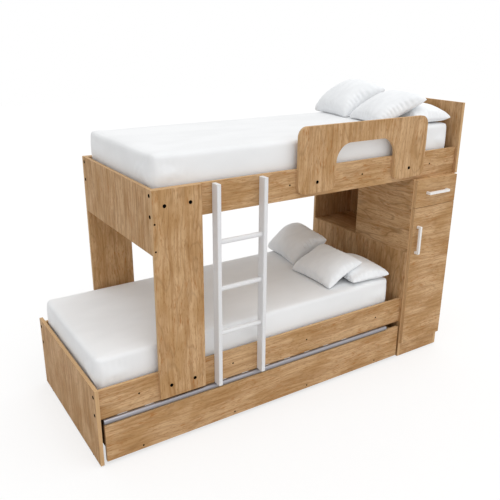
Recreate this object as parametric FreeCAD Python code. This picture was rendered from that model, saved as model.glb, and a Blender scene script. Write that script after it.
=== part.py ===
"""Bunk bed of melamine board: two single beds, a storage tower and a pull-out trundle.

All lengths are in millimetres. The working frame has x along the beds from the outer face
of the foot panel, y into the depth from the outer face of the front rails, and z up from
the floor. At export every piece moves so that the origin lies on the floor under the
middle of the whole bed.
"""
import FreeCAD
import Part
import math
import os

Vector = FreeCAD.Vector
X_AXIS = Vector(1, 0, 0)
Y_AXIS = Vector(0, 1, 0)
Z_AXIS = Vector(0, 0, 1)

# Boards and overall layout
board = 18.0
lower_bay_length = 1922.0
tower_width = 343.0
glide_height = 8.0
glide_radius = 8.0
glide_inset = 114.0
tower_glide_inset = 40.0

# Lower bed
foot_panel_height = 404.0
rail_height = 150.0
lower_rail_bottom = 247.0

# Upper bed
upper_bed_setback = 321.0
upper_rail_bottom = 1145.0
upper_end_panel_height = 302.0
leg_width = 246.0
leg_bottom_rise = 11.0
headboard_height = 409.0

# Slatted bases
ledger_size = 30.0
ledger_end_gap = 10.0
slat_width = 70.0
slat_thickness = 18.0
slat_end_gap = 2.0
slat_count = 14
first_slat_gap = 30.0

# Mattresses
mattress_width = 800.0
mattress_side_gap = 8.0
mattress_thickness = 185.0
mattress_foot_gap = 8.0
lower_mattress_head_gap = 74.0
upper_mattress_head_gap = 36.0
mattress_corner_radius = 45.0
mattress_edge_radius = 28.0
soft_gap = 0.3

# Pillows
lower_pillow_length = 292.0
upper_pillow_length = 345.0
pillow_play = 15.0
rear_pillow_crown = 90.0
front_pillow_crown = 72.0
rear_pillow_belly = 70.0
front_pillow_belly = 16.0
lower_head_pillow_crown = 60.0
upper_head_pillow_crown = 74.0
head_pillow_belly = 16.0
lower_rear_pillow_press = 22.0
upper_rear_pillow_press = 21.0
pillow_seam = 7.0
pillow_waist = 24.0
lower_rear_pillow_tilt = 29.5
lower_front_pillow_tilt = 24.5
upper_rear_pillow_tilt = 28.0
upper_front_pillow_tilt = 24.5
lower_rear_pillow_turn = -8.0
lower_front_pillow_turn = 0.0
lower_head_pillow_turn = -4.0
upper_rear_pillow_turn = -8.0
upper_front_pillow_turn = -13.0
upper_head_pillow_turn = -3.0
lower_rear_pillow_head_offset = 232.0
lower_rear_pillow_side_shift = -26.5
lower_front_pillow_head_offset = 303.0
lower_front_pillow_side_shift = 47.5
lower_head_pillow_head_offset = 136.0
lower_head_pillow_side_shift = -4.5
upper_rear_pillow_head_offset = 232.0
upper_rear_pillow_side_shift = -20.5
upper_front_pillow_head_offset = 288.0
upper_front_pillow_side_shift = 41.5
upper_head_pillow_head_offset = 124.0
upper_head_pillow_side_shift = -2.5

# Connector bolts with black caps, and wood screws
cap_radius = 8.8
cap_proud = 0.8
cap_depth = 4.0
bolt_radius = 3.5
rail_end_bolt_length = 60.0
leg_bolt_end_gap = 2.0
rail_bolt_spacing = 96.0
leg_bolt_spacing = 128.0
screw_head_radius = 4.8
screw_head_depth = 2.0
screw_radius = 2.0
screw_length = 40.0
inner_screw_offset = 240.0
outer_screw_offset = 761.0
edge_screw_drop = 152.0
edge_screw_spacing = 127.0

# Guard panel
guard_end_gap = 278.0
guard_height = 337.0
guard_lift = 21.0
guard_corner_radius = 50.0
guard_foot_radius = 40.0
guard_leg_width = 240.0
arch_height = 236.0
arch_radius = 96.0
arch_corner_limit_share = 0.48

# Ladder
stile_width = 22.0
stile_depth = 50.0
stile_wall = 1.5
stile_corner_radius = 4.0
leg_ladder_gap = 60.0
ladder_guard_gap = 202.0
ladder_width = 281.0
ladder_bottom_rise = 2.0
ladder_top_drop = 6.0
rung_radius = 12.5
rung_spacing = 238.0
rung_count = 3
end_cap_thickness = 2.0
end_cap_plug = 12.0
ladder_bolt_length = 44.0
ladder_bolt_rise = 50.0

# Tower carcass
lower_head_panel_height = 689.0
drawer_bay_depth = 451.0
plinth_height = 91.0
drawer_bay_height = 142.0
front_inset = 10.0
front_gap = 3.0
front_standoff = 0.3
drawer_front_height = 164.5

# Bar handles
handle_length = 172.0
handle_section = 14.0
handle_projection = 30.0
handle_corner_radius = 5.0
door_handle_inset = 37.0
door_handle_drop = 108.0

# Drawer
drawer_back_gap = 41.3
drawer_top_gap = 18.0
drawer_box_lift = 12.0
drawer_side_thickness = 12.0
drawer_bottom_thickness = 3.0
drawer_bottom_lift = 10.0
runner_setback = 42.0
runner_height = 34.0
runner_thickness = 12.5
runner_wall = 1.5
runner_clearance = 0.5
runner_side_gap = 2.0

# Concealed door hinges
hinge_cup_radius = 17.5
hinge_cup_depth = 12.0
hinge_cup_edge = 5.0
hinge_inset = 95.0
hinge_plate_height = 50.0
hinge_plate_length = 42.0
hinge_plate_thickness = 3.0
hinge_arm_width = 16.0
hinge_arm_length = 60.0
hinge_arm_depth = 14.0

# Trundle
trundle_side_gap = 16.0
trundle_ladder_gap = 4.0
trundle_front_bottom = 21.0
trundle_box_inset = 18.0
trundle_box_depth = 800.0
trundle_box_drop = 21.0
trundle_ledger_size = 25.0
trundle_slat_count = 12
trundle_slat_width = 90.0
profile_stop = 99.0
profile_bead_radius = 12.5
profile_stem_height = 2.0
profile_stem_thickness = 9.0

# Fixed castors
wheel_radius = 22.0
wheel_width = 18.0
wheel_edge_radius = 3.0
axle_radius = 3.0
axle_clearance = 0.05
axle_head_radius = 5.0
axle_head_thickness = 1.5
fork_gap = 0.6
fork_wall = 2.5
fork_length = 30.0
fork_drop = 7.0
castor_plate_thickness = 3.0
castor_plate_width = 44.0
castor_plate_length = 54.0
castor_wheel_gap = 5.5
castor_front_offset = 90.0
castor_rear_offset = 110.0

cut_overrun = 5.0

# Places that follow from the sizes above
rail_depth_span = mattress_width + 2 * (mattress_side_gap + board)
panel_bottom = glide_height
bay_start = board
tower_start = bay_start + lower_bay_length
tower_end = tower_start + tower_width
lower_rail_top = lower_rail_bottom + rail_height
lower_rail_middle = lower_rail_bottom + rail_height / 2
upper_rail_top = upper_rail_bottom + rail_height
upper_rail_middle = upper_rail_bottom + rail_height / 2
upper_bay_start = upper_bed_setback + board
lower_mattress_length = lower_bay_length - mattress_foot_gap - lower_mattress_head_gap
upper_mattress_length = tower_end - upper_bay_start - mattress_foot_gap - upper_mattress_head_gap
pillow_width = mattress_width / 2 - pillow_play
leg_bottom = lower_rail_bottom + leg_bottom_rise
leg_end = upper_bed_setback + leg_width
leg_bolt_length = 2 * board - leg_bolt_end_gap
ladder_start = leg_end + leg_ladder_gap
ladder_bottom = lower_rail_bottom + ladder_bottom_rise
ladder_length = upper_rail_top - ladder_top_drop - ladder_bottom
guard_start = ladder_start + ladder_width + ladder_guard_gap
guard_length = tower_end - guard_end_gap - guard_start
guard_bottom = upper_rail_bottom + guard_lift
panel_front = -board
rail_back = rail_depth_span
panel_back = rail_back + board
leg_middle = upper_bed_setback + leg_width / 2
head_panel_top = panel_bottom + lower_head_panel_height
divider_back = panel_front + drawer_bay_depth
divider_front = divider_back - board
fronts_face = panel_front - board
mattress_front = board + mattress_side_gap


def block(x0, y0, z0, x1, y1, z1):
    """Box between two opposite corners."""
    return Part.makeBox(x1 - x0, y1 - y0, z1 - z0, Vector(x0, y0, z0))


def edges_along(shape, axis):
    """Straight edges of a shape that run along one axis."""
    found = []
    for edge in shape.Edges:
        ends = edge.Vertexes
        if len(ends) != 2:
            continue
        run = ends[1].Point - ends[0].Point
        if abs(abs(run.normalize().dot(axis)) - 1) < 1e-6:
            found.append(edge)
    return found


def edges_near(edges, x, z, reach):
    """Edges along y that pass within a reach of the place (x, z)."""
    return [e for e in edges if math.hypot(e.CenterOfMass.x - x, e.CenterOfMass.z - z) < reach]


def group(solids):
    """Several separate solids kept as one node."""
    return Part.makeCompound(solids)


def drilled(shape, fasteners):
    """A piece with room cut for the fasteners that pass through it."""
    touching = [f for f in fasteners if shape.BoundBox.intersect(f.BoundBox)]
    return shape.cut(touching) if touching else shape


def bolt(place, direction, length):
    """Connector bolt whose black cap lies in the face at the given place."""
    cap = Part.makeCylinder(cap_radius, cap_depth + cap_proud, place - direction * cap_proud, direction)
    shank = Part.makeCylinder(bolt_radius, length - cap_depth, place + direction * cap_depth, direction)
    return cap.fuse(shank).removeSplitter()


def screw(place, direction):
    """Wood screw with a countersunk head flush with the face at the given place."""
    head = Part.makeCone(screw_head_radius, screw_radius, screw_head_depth, place, direction)
    shank = Part.makeCylinder(screw_radius, screw_length - screw_head_depth,
                              place + direction * screw_head_depth, direction)
    return head.fuse(shank).removeSplitter()


def rail_end_bolts():
    """Bolts through the end panels into the ends of the four rails."""
    bolts = []
    lower_levels = [lower_rail_middle + side * rail_bolt_spacing / 2 for side in (-1, 1)]
    upper_levels = [upper_rail_middle + side * rail_bolt_spacing / 2 for side in (-1, 1)]
    for y in (board / 2, rail_back - board / 2):
        for z in lower_levels:
            bolts.append(bolt(Vector(0, y, z), X_AXIS, rail_end_bolt_length))
            bolts.append(bolt(Vector(tower_start + board, y, z), -X_AXIS, rail_end_bolt_length))
        for z in upper_levels:
            bolts.append(bolt(Vector(upper_bed_setback, y, z), X_AXIS, rail_end_bolt_length))
            bolts.append(bolt(Vector(tower_end + board, y, z), -X_AXIS, rail_end_bolt_length))
    return bolts


def leg_bolts():
    """Bolts through the two leg panels into the upper and lower rails."""
    bolts = []
    for side in (-1, 1):
        x = leg_middle + side * leg_bolt_spacing / 2
        for z in (lower_rail_middle, upper_rail_middle):
            bolts.append(bolt(Vector(x, panel_front, z), Y_AXIS, leg_bolt_length))
            bolts.append(bolt(Vector(x, panel_back, z), -Y_AXIS, leg_bolt_length))
    return bolts


def guard_bolts():
    """Bolts through the two feet of the guard panel into the upper front rail."""
    feet = (guard_start + guard_leg_width / 2, guard_start + guard_length - guard_leg_width / 2)
    return [bolt(Vector(x, panel_front, upper_rail_middle), Y_AXIS, leg_bolt_length) for x in feet]


def ladder_bolts():
    """Bolts from behind the front rails into the two ladder stiles."""
    stile_middles = (ladder_start + stile_width / 2, ladder_start + ladder_width - stile_width / 2)
    levels = (lower_rail_bottom + ladder_bolt_rise, upper_rail_middle + rail_bolt_spacing / 2)
    return [bolt(Vector(x, board, z), -Y_AXIS, ladder_bolt_length)
            for x in stile_middles for z in levels]


def screw_row(middle_x):
    """The four x places of the screws along one slat ledger."""
    offsets = (inner_screw_offset, outer_screw_offset)
    return [middle_x + side * offset for side in (-1, 1) for offset in offsets]


def ledger_screws():
    """Screws through the rails into the slat ledgers."""
    screws = []
    rows = ((bay_start + lower_bay_length / 2, lower_rail_middle),
            ((upper_bay_start + tower_end) / 2, upper_rail_middle))
    for middle_x, z in rows:
        for x in screw_row(middle_x):
            screws.append(screw(Vector(x, 0, z), Y_AXIS))
            screws.append(screw(Vector(x, rail_back, z), -Y_AXIS))
    return screws


def leg_edge_screws():
    """Screws through the legs into the edges of the upper end panel."""
    screws = []
    x = upper_bed_setback + board / 2
    top_level = upper_rail_top - edge_screw_drop
    for z in (top_level, top_level - edge_screw_spacing):
        screws.append(screw(Vector(x, panel_front, z), Y_AXIS))
        screws.append(screw(Vector(x, panel_back, z), -Y_AXIS))
    return screws


def slat_ledger(x0, x1, y0, middle_z):
    """Square batten on the inner face of a rail."""
    return block(x0 + ledger_end_gap, y0, middle_z - ledger_size / 2,
                 x1 - ledger_end_gap, y0 + ledger_size, middle_z + ledger_size / 2)


def slats(x0, x1, y0, y1, z, width, count):
    """Evenly spaced slats that bridge two ledgers."""
    first = x0 + first_slat_gap
    step = (x1 - x0 - 2 * first_slat_gap - width) / (count - 1)
    return [block(first + i * step, y0, z, first + i * step + width, y1, z + slat_thickness)
            for i in range(count)]


def mattress(x0, length, z):
    """Mattress with rounded corners and rounded edges, clear of the slats by the soft gap."""
    body = block(x0, mattress_front, z + soft_gap,
                 x0 + length, mattress_front + mattress_width, z + soft_gap + mattress_thickness)
    body = body.makeFillet(mattress_corner_radius, edges_along(body, Z_AXIS))
    rims = [e for e in body.Edges
            if abs(e.BoundBox.ZMax - e.BoundBox.ZMin) < soft_gap]
    return body.makeFillet(mattress_edge_radius, rims)


def pillow_section(x, half_width, crown, belly):
    """Closed outline across a pillow: an arc over and an arc under two short seam edges."""
    seam = pillow_seam / 2
    front_top = Vector(x, -half_width, seam)
    rear_top = Vector(x, half_width, seam)
    front_low = Vector(x, -half_width, -seam)
    rear_low = Vector(x, half_width, -seam)
    over = Part.Arc(front_top, Vector(x, 0, seam + crown), rear_top).toShape()
    under = Part.Arc(rear_low, Vector(x, 0, -seam - belly), front_low).toShape()
    rear = Part.LineSegment(rear_top, rear_low).toShape()
    front = Part.LineSegment(front_low, front_top).toShape()
    return Part.Wire([over, rear, under, front])


def pillow(middle, length, turn, tilt, rest_z, full_crown, full_belly, press=0.0):
    """Pillow with a crown and drawn-in sides, tilted, turned and pressed flat where it rests."""
    stations_share = (-1.0, -0.75, -0.4, 0.0, 0.4, 0.75, 1.0)
    sections = []
    for share in stations_share:
        fullness = math.sqrt(max(1 - abs(share) ** 2.4, 0))
        waist = pillow_waist * (1 - share ** 2) / 2
        crown = pillow_seam + (full_crown - pillow_seam) * fullness
        belly = pillow_seam / 2 + (full_belly - pillow_seam / 2) * fullness
        sections.append(pillow_section(share * length / 2, pillow_width / 2 - waist, crown, belly))
    shape = Part.makeLoft(sections, True, False)
    shape.rotate(Vector(0, 0, 0), Y_AXIS, -tilt)
    shape.rotate(Vector(0, 0, 0), Z_AXIS, turn)
    lowest = shape.optimalBoundingBox(False, False).ZMin + press
    if press > 0:
        shape = shape.cut(block(-length, -length, lowest - 2 * press, length, length, lowest))
    shape.translate(Vector(middle[0], middle[1], rest_z + soft_gap - lowest))
    return shape


def lower_pillows(head_x, rest_z):
    """Rear, front and head pillow of the lower bed, placed from the mattress's head end."""
    far_side = mattress_front + mattress_width
    rear = pillow((head_x - lower_rear_pillow_head_offset,
                   far_side - pillow_width / 2 - lower_rear_pillow_side_shift),
                  lower_pillow_length, lower_rear_pillow_turn, lower_rear_pillow_tilt,
                  rest_z, rear_pillow_crown, rear_pillow_belly, lower_rear_pillow_press)
    front = pillow((head_x - lower_front_pillow_head_offset,
                    mattress_front + pillow_width / 2 + lower_front_pillow_side_shift),
                   lower_pillow_length, lower_front_pillow_turn, lower_front_pillow_tilt,
                   rest_z, front_pillow_crown, front_pillow_belly)
    head = pillow((head_x - lower_head_pillow_head_offset,
                   mattress_front + pillow_width / 2 + lower_head_pillow_side_shift),
                  lower_pillow_length, lower_head_pillow_turn, 0,
                  rest_z, lower_head_pillow_crown, head_pillow_belly)
    return rear, front, head


def upper_pillows(head_x, rest_z):
    """Rear, front and head pillow of the upper bed, placed from the mattress's head end."""
    far_side = mattress_front + mattress_width
    rear = pillow((head_x - upper_rear_pillow_head_offset,
                   far_side - pillow_width / 2 - upper_rear_pillow_side_shift),
                  upper_pillow_length, upper_rear_pillow_turn, upper_rear_pillow_tilt,
                  rest_z, rear_pillow_crown, rear_pillow_belly, upper_rear_pillow_press)
    front = pillow((head_x - upper_front_pillow_head_offset,
                    mattress_front + pillow_width / 2 + upper_front_pillow_side_shift),
                   upper_pillow_length, upper_front_pillow_turn, upper_front_pillow_tilt,
                   rest_z, front_pillow_crown, front_pillow_belly)
    head = pillow((head_x - upper_head_pillow_head_offset,
                   mattress_front + pillow_width / 2 + upper_head_pillow_side_shift),
                  lower_pillow_length, upper_head_pillow_turn, 0,
                  rest_z, upper_head_pillow_crown, head_pillow_belly)
    return rear, front, head


def guard():
    """Guard panel with rounded corners and an arch that leaves two feet."""
    x1 = guard_start + guard_length
    top = guard_bottom + guard_height
    arch_x0 = guard_start + guard_leg_width
    arch_x1 = x1 - guard_leg_width
    arch_top = guard_bottom + arch_height
    panel = block(guard_start, panel_front, guard_bottom, x1, 0, top)
    arch = block(arch_x0, panel_front - cut_overrun, guard_bottom - cut_overrun,
                 arch_x1, cut_overrun, arch_top)
    uprights = edges_along(arch, Y_AXIS)
    arch_corners = [e for x in (arch_x0, arch_x1) for e in edges_near(uprights, x, arch_top, board)]
    radius = min(arch_radius, (arch_x1 - arch_x0) * arch_corner_limit_share)
    arch = arch.makeFillet(radius, arch_corners)
    panel = panel.cut(arch)
    uprights = edges_along(panel, Y_AXIS)
    top_corners = [e for x in (guard_start, x1) for e in edges_near(uprights, x, top, board)]
    panel = panel.makeFillet(guard_corner_radius, top_corners)
    uprights = edges_along(panel, Y_AXIS)
    foot_corners = [e for x in (guard_start, arch_x0, arch_x1, x1)
                    for e in edges_near(uprights, x, guard_bottom, board)]
    return panel.makeFillet(guard_foot_radius, foot_corners)


def stile(x0):
    """Rectangular steel tube of the ladder."""
    top = ladder_bottom + ladder_length
    tube = block(x0, -stile_depth, ladder_bottom + end_cap_thickness,
                 x0 + stile_width, 0, top - end_cap_thickness)
    tube = tube.makeFillet(stile_corner_radius, edges_along(tube, Z_AXIS))
    hollow = block(x0 + stile_wall, stile_wall - stile_depth, ladder_bottom,
                   x0 + stile_width - stile_wall, -stile_wall, top)
    return tube.cut(hollow)


def stile_caps(x0):
    """Plastic plugs that close the two ends of a stile."""
    caps = []
    top = ladder_bottom + ladder_length
    inner = (x0 + stile_wall, stile_wall - stile_depth, x0 + stile_width - stile_wall, -stile_wall)
    for low, inward in ((ladder_bottom, 1), (top - end_cap_thickness, -1)):
        plate = block(x0, -stile_depth, low, x0 + stile_width, 0, low + end_cap_thickness)
        plate = plate.makeFillet(stile_corner_radius, edges_along(plate, Z_AXIS))
        start = low + end_cap_thickness if inward > 0 else low - end_cap_plug
        plug = block(inner[0], inner[1], start, inner[2], inner[3], start + end_cap_plug)
        caps.append(plate.fuse(plug).removeSplitter())
    return caps


def rungs():
    """Round rungs between the stiles, evenly spaced about the ladder's middle."""
    middle = ladder_bottom + ladder_length / 2
    x0 = ladder_start + stile_width
    span = ladder_width - 2 * stile_width
    levels = [middle + (i - (rung_count - 1) / 2) * rung_spacing for i in range(rung_count)]
    return [Part.makeCylinder(rung_radius, span, Vector(x0, -stile_depth / 2, z), X_AXIS) for z in levels]


def bar_handle(along):
    """Square bar on two feet, along x or z, with its middle on the origin's face plane."""
    half = handle_length / 2
    reach = handle_section / 2
    bar = block(-half, -handle_projection, -reach, half, handle_section - handle_projection, reach)
    hollow = block(handle_section - half, -handle_projection, -reach, half - handle_section, 0, reach)
    whole = block(-half, -handle_projection, -reach, half, 0, reach)
    whole = whole.makeFillet(handle_corner_radius, [e for e in edges_along(whole, Z_AXIS)
                                                    if e.CenterOfMass.y < -handle_section])
    shape = whole.cut(hollow).fuse(bar.common(whole)).removeSplitter()
    if along == "z":
        shape.rotate(Vector(0, 0, 0), Y_AXIS, 90)
    return shape


def cabinet_runner(side):
    """Channel of a drawer runner, fixed to one side of the tower."""
    wall_x = tower_start + board if side < 0 else tower_end - board
    z0 = runner_bottom
    outer = sorted((wall_x, wall_x - side * runner_cabinet_depth))
    channel = block(outer[0], panel_front, z0, outer[1], panel_front + runner_length, z0 + runner_height)
    slot = sorted((wall_x - side * runner_wall, wall_x - side * (runner_cabinet_depth + cut_overrun)))
    groove = block(slot[0], panel_front - cut_overrun, z0 + runner_wall,
                   slot[1], panel_front + runner_length + cut_overrun, z0 + runner_height - runner_wall)
    return channel.cut(groove)


def drawer_rail(side):
    """Inner rail of a drawer runner, fixed to one side of the drawer box."""
    wall_x = tower_start + board if side < 0 else tower_end - board
    inset = runner_wall + runner_clearance
    span = sorted((wall_x - side * inset, wall_x - side * runner_thickness))
    return block(span[0], panel_front, runner_bottom + inset,
                 span[1], panel_front + runner_length, runner_bottom + runner_height - inset)


def hinge_cups():
    """Hinge cups sunk in the back of the door."""
    x = tower_end - hinge_cup_edge - hinge_cup_radius
    return [Part.makeCylinder(hinge_cup_radius, hinge_cup_depth, Vector(x, door_back, z), -Y_AXIS)
            for z in hinge_levels]


def hinge_arms():
    """Mounting plates and arms of the hinges on the tower's right side."""
    arms = []
    wall_x = tower_end - board
    front = panel_front
    for z in hinge_levels:
        plate = block(wall_x - hinge_plate_thickness, front, z - hinge_plate_height / 2,
                      wall_x, front + hinge_plate_length, z + hinge_plate_height / 2)
        arm = block(wall_x - hinge_arm_depth, front, z - hinge_arm_width / 2,
                    wall_x, front + hinge_arm_length, z + hinge_arm_width / 2)
        arms.append(plate.fuse(arm).removeSplitter())
    return arms


def handle_profile(x0, x1):
    """Rolled aluminium profile on the trundle front: a round nose with a flat back, on a stem."""
    nose_z = trundle_front_top + profile_stem_height + profile_bead_radius
    top = trundle_front_top + profile_height
    nose = Part.makeCylinder(profile_bead_radius, x1 - x0,
                             Vector(x0, panel_front + profile_bead_radius, nose_z), X_AXIS)
    nose = nose.common(block(x0, panel_front, trundle_front_top, x1, 0, top))
    back = block(x0, panel_front + profile_bead_radius, nose_z, x1, 0, top)
    stem = block(x0, -profile_stem_thickness, trundle_front_top, x1, 0, nose_z)
    return nose.fuse([back, stem]).removeSplitter()


def castor(x, y):
    """Fork of a fixed castor with its axle, under the base of the trundle."""
    top = trundle_base_z
    inner = wheel_width / 2 + fork_gap
    outer = inner + fork_wall
    plate = block(x - castor_plate_width / 2, y - castor_plate_length / 2, top - castor_plate_thickness,
                  x + castor_plate_width / 2, y + castor_plate_length / 2, top)
    fork = plate
    for side in (-1, 1):
        span = sorted((x + side * inner, x + side * outer))
        cheek = block(span[0], y - fork_length / 2, wheel_radius - fork_drop,
                      span[1], y + fork_length / 2, top - castor_plate_thickness)
        fork = fork.fuse(cheek)
    axle = Part.makeCylinder(axle_radius, 2 * outer, Vector(x - outer, y, wheel_radius), X_AXIS)
    fork = fork.fuse(axle)
    for side in (-1, 1):
        start = x + outer if side > 0 else x - outer - axle_head_thickness
        fork = fork.fuse(Part.makeCylinder(axle_head_radius, axle_head_thickness,
                                           Vector(start, y, wheel_radius), X_AXIS))
    return fork.removeSplitter()


def wheel(x, y):
    """Castor wheel with its bore, standing on the floor."""
    start = Vector(x - wheel_width / 2, y, wheel_radius)
    disc = Part.makeCylinder(wheel_radius, wheel_width, start, X_AXIS)
    disc = disc.makeFillet(wheel_edge_radius, [e for e in disc.Edges if len(e.Vertexes) == 1])
    bore = Part.makeCylinder(axle_radius + axle_clearance, wheel_width + 2 * cut_overrun,
                             start - X_AXIS * cut_overrun, X_AXIS)
    return disc.cut(bore)


def glides():
    """Round plastic glides under the foot panel and the tower."""
    places = [(board / 2, panel_front + glide_inset), (board / 2, panel_back - glide_inset)]
    for x in (tower_start + board / 2, tower_end - board / 2):
        places.append((x, panel_front + tower_glide_inset))
        places.append((x, rail_back - tower_glide_inset))
    return [Part.makeCylinder(glide_radius, glide_height, Vector(x, y, 0)) for x, y in places]


# Tower front levels
tower_top_under = upper_rail_bottom - board
drawer_shelf_bottom = tower_top_under - drawer_bay_height - board
front_left = tower_start + front_inset
drawer_front_top = upper_rail_bottom - front_gap
drawer_front_bottom = drawer_front_top - drawer_front_height
door_bottom = panel_bottom + plinth_height
door_top = drawer_front_bottom - front_gap
door_back = panel_front - front_standoff
door_face = door_back - board
door_middle = (front_left + tower_end) / 2
hinge_levels = (door_bottom + hinge_inset, door_top - hinge_inset)
drawer_box_depth = divider_front - drawer_back_gap - door_back
runner_length = drawer_box_depth - runner_setback
drawer_box_bottom = drawer_shelf_bottom + board + drawer_box_lift
drawer_box_height = drawer_bay_height - drawer_box_lift - drawer_top_gap
runner_cabinet_depth = runner_thickness - runner_side_gap
runner_bottom = drawer_box_bottom + (drawer_box_height - runner_height) / 2
tower_floor_z = panel_bottom + plinth_height

# Trundle levels
trundle_x0 = bay_start + trundle_side_gap
trundle_x1 = tower_start - trundle_side_gap
profile_height = profile_stem_height + 2 * profile_bead_radius
trundle_front_top = ladder_bottom - trundle_ladder_gap - profile_height
trundle_box_x0 = trundle_x0 + trundle_box_inset
trundle_box_x1 = trundle_x1 - trundle_box_inset
trundle_base_z = 2 * wheel_radius + castor_wheel_gap + castor_plate_thickness
trundle_box_height = trundle_front_top - trundle_box_drop - trundle_base_z
trundle_back_y = trundle_box_depth - board

nodes = {}


def build_lower_bed(bolts, screws):
    """Foot panel, rails, head panel and mattress of the lower bed."""
    nodes["foot_panel"] = drilled(block(0, panel_front, panel_bottom, board, panel_back,
                                        panel_bottom + foot_panel_height), bolts)
    for name, y in (("lower_front_rail", 0), ("lower_rear_rail", rail_back - board)):
        rail = block(bay_start, y, lower_rail_bottom, tower_start, y + board, lower_rail_top)
        nodes[name] = drilled(rail, bolts + screws)
    nodes["lower_head_panel"] = drilled(block(tower_start, panel_front, panel_bottom, tower_start + board,
                                              rail_back, head_panel_top), bolts)
    rest_z = lower_rail_middle + ledger_size / 2 + slat_thickness
    head_x = bay_start + mattress_foot_gap + lower_mattress_length
    nodes["lower_mattress"] = mattress(bay_start + mattress_foot_gap, lower_mattress_length, rest_z)
    rear, front, head = lower_pillows(head_x, rest_z + soft_gap + mattress_thickness)
    nodes["lower_pillow_rear"] = rear
    nodes["lower_pillow_front"] = front
    nodes["lower_pillow_head"] = head


def build_upper_bed(bolts, screws):
    """Legs, end panel, rails, headboard, guard and mattress of the upper bed."""
    for name, y in (("front_leg", panel_front), ("rear_leg", rail_back)):
        leg = block(upper_bed_setback, y, leg_bottom, leg_end, y + board, upper_rail_top)
        nodes[name] = drilled(leg, bolts + screws)
    nodes["upper_end_panel"] = drilled(block(upper_bed_setback, 0, upper_rail_top - upper_end_panel_height,
                                             upper_bay_start, rail_back, upper_rail_top), bolts + screws)
    for name, y in (("upper_front_rail", 0), ("upper_rear_rail", rail_back - board)):
        rail = block(upper_bay_start, y, upper_rail_bottom, tower_end, y + board, upper_rail_top)
        nodes[name] = drilled(rail, bolts + screws)
    headboard = block(tower_end, panel_front, upper_rail_bottom,
                      tower_end + board, panel_back, upper_rail_bottom + headboard_height)
    nodes["headboard"] = drilled(headboard, bolts)
    nodes["guard_panel"] = drilled(guard(), bolts)
    rest_z = upper_rail_middle + ledger_size / 2 + slat_thickness
    head_x = upper_bay_start + mattress_foot_gap + upper_mattress_length
    nodes["upper_mattress"] = mattress(upper_bay_start + mattress_foot_gap, upper_mattress_length, rest_z)
    rear, front, head = upper_pillows(head_x, rest_z + soft_gap + mattress_thickness)
    nodes["upper_pillow_rear"] = rear
    nodes["upper_pillow_front"] = front
    nodes["upper_pillow_head"] = head


def build_slatted_bases(screws):
    """Ledgers and slats of both beds."""
    ledgers = []
    slat_solids = []
    for x0, x1, middle_z in ((bay_start, tower_start, lower_rail_middle),
                             (upper_bay_start, tower_end, upper_rail_middle)):
        for y0 in (board, rail_back - board - ledger_size):
            ledgers.append(drilled(slat_ledger(x0, x1, y0, middle_z), screws))
        slat_solids += slats(x0, x1, board + slat_end_gap, rail_back - board - slat_end_gap,
                             middle_z + ledger_size / 2, slat_width, slat_count)
    nodes["slat_ledgers"] = group(ledgers)
    nodes["bed_slats"] = group(slat_solids)


def build_ladder(bolts):
    """Stiles, rungs and end caps of the ladder."""
    right_x = ladder_start + ladder_width - stile_width
    nodes["ladder_left_stile"] = drilled(stile(ladder_start), bolts)
    nodes["ladder_right_stile"] = drilled(stile(right_x), bolts)
    nodes["ladder_rungs"] = group(rungs())
    nodes["ladder_end_caps"] = group(stile_caps(ladder_start) + stile_caps(right_x))


def build_tower(bolts):
    """Carcass boards of the tower."""
    inner_x0 = tower_start + board
    inner_x1 = tower_end - board
    shelf_z = head_panel_top - board
    nodes["tower_upper_side"] = block(tower_start, panel_front, head_panel_top,
                                      inner_x0, divider_back, upper_rail_bottom)
    nodes["tower_right_side"] = block(inner_x1, panel_front, panel_bottom,
                                      tower_end, rail_back, upper_rail_bottom)
    nodes["tower_back"] = block(tower_start, rail_back, panel_bottom,
                                tower_end, panel_back, upper_rail_bottom)
    top = block(inner_x0, panel_front, tower_top_under, inner_x1, rail_back, upper_rail_bottom)
    niche_top = block(tower_start, divider_back, tower_top_under, inner_x1, rail_back, upper_rail_bottom)
    nodes["tower_top"] = top.fuse(niche_top).removeSplitter()
    nodes["tower_bottom"] = block(inner_x0, panel_front, tower_floor_z,
                                  inner_x1, rail_back, tower_floor_z + board)
    nodes["tower_plinth"] = block(inner_x0, panel_front, panel_bottom, inner_x1, 0, tower_floor_z)
    nodes["niche_floor"] = block(inner_x0, panel_front, shelf_z, inner_x1, rail_back, head_panel_top)
    nodes["niche_divider"] = block(inner_x0, divider_front, head_panel_top,
                                   inner_x1, divider_back, tower_top_under)
    nodes["drawer_shelf"] = block(inner_x0, panel_front, drawer_shelf_bottom,
                                  inner_x1, divider_front, drawer_shelf_bottom + board)
    nodes["drawer_cabinet_runners"] = group([cabinet_runner(-1), cabinet_runner(1)])
    nodes["door_hinge_arms"] = group(hinge_arms())
    nodes["floor_glides"] = group(glides())


def build_door():
    """Door with its cups and handle."""
    cups = hinge_cups()
    panel = block(front_left, door_face, door_bottom, tower_end, door_back, door_top)
    nodes["door"] = panel.cut(cups)
    nodes["door_hinge_cups"] = group(cups)
    handle = bar_handle("z")
    handle.translate(Vector(front_left + door_handle_inset, door_face,
                            door_top - door_handle_drop - handle_length / 2))
    nodes["door_handle"] = handle


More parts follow.
